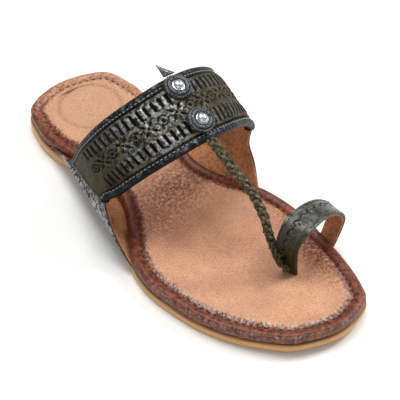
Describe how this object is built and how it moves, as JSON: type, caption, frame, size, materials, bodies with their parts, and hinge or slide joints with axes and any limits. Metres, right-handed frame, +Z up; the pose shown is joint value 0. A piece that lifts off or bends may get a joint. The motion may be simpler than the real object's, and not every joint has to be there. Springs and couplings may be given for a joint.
{
  "type": "toe-loop sandal",
  "caption": "Right-foot flat leather sandal: wrapped insole on a leather outsole, instep strap with a cut panel, plaited strip and big-toe loop.",
  "frame": {"origin": "on the floor under the middle of the heel, on the outsole's flat heel face", "axes": "+Y towards the toe, +X towards the outer side of a right foot, +Z up"},
  "size_m": [0.1105, 0.2527, 0.093],
  "materials": {
    "sole_leather": "waxed edge, honey tan shading to dark brown",
    "footbed_leather": "smooth tan with a burnished dark rim",
    "strap_leather": "antique olive black with a rubbed silvery sheen",
    "edge_leather": "polished blue black",
    "stud_metal": "polished silver colour"
  },
  "bodies": {
    "root": {"outsole": "sole_leather", "insole": "footbed_leather", "upper": "strap_leather", "slit_panel": "strap_leather", "rear_binding": "edge_leather", "front_binding": "edge_leather", "horn_tab": "edge_leather", "rosette_rear": "edge_leather", "rosette_front": "edge_leather", "stud_rear": "stud_metal", "stud_front": "stud_metal"}
  },
  "joints": []
}
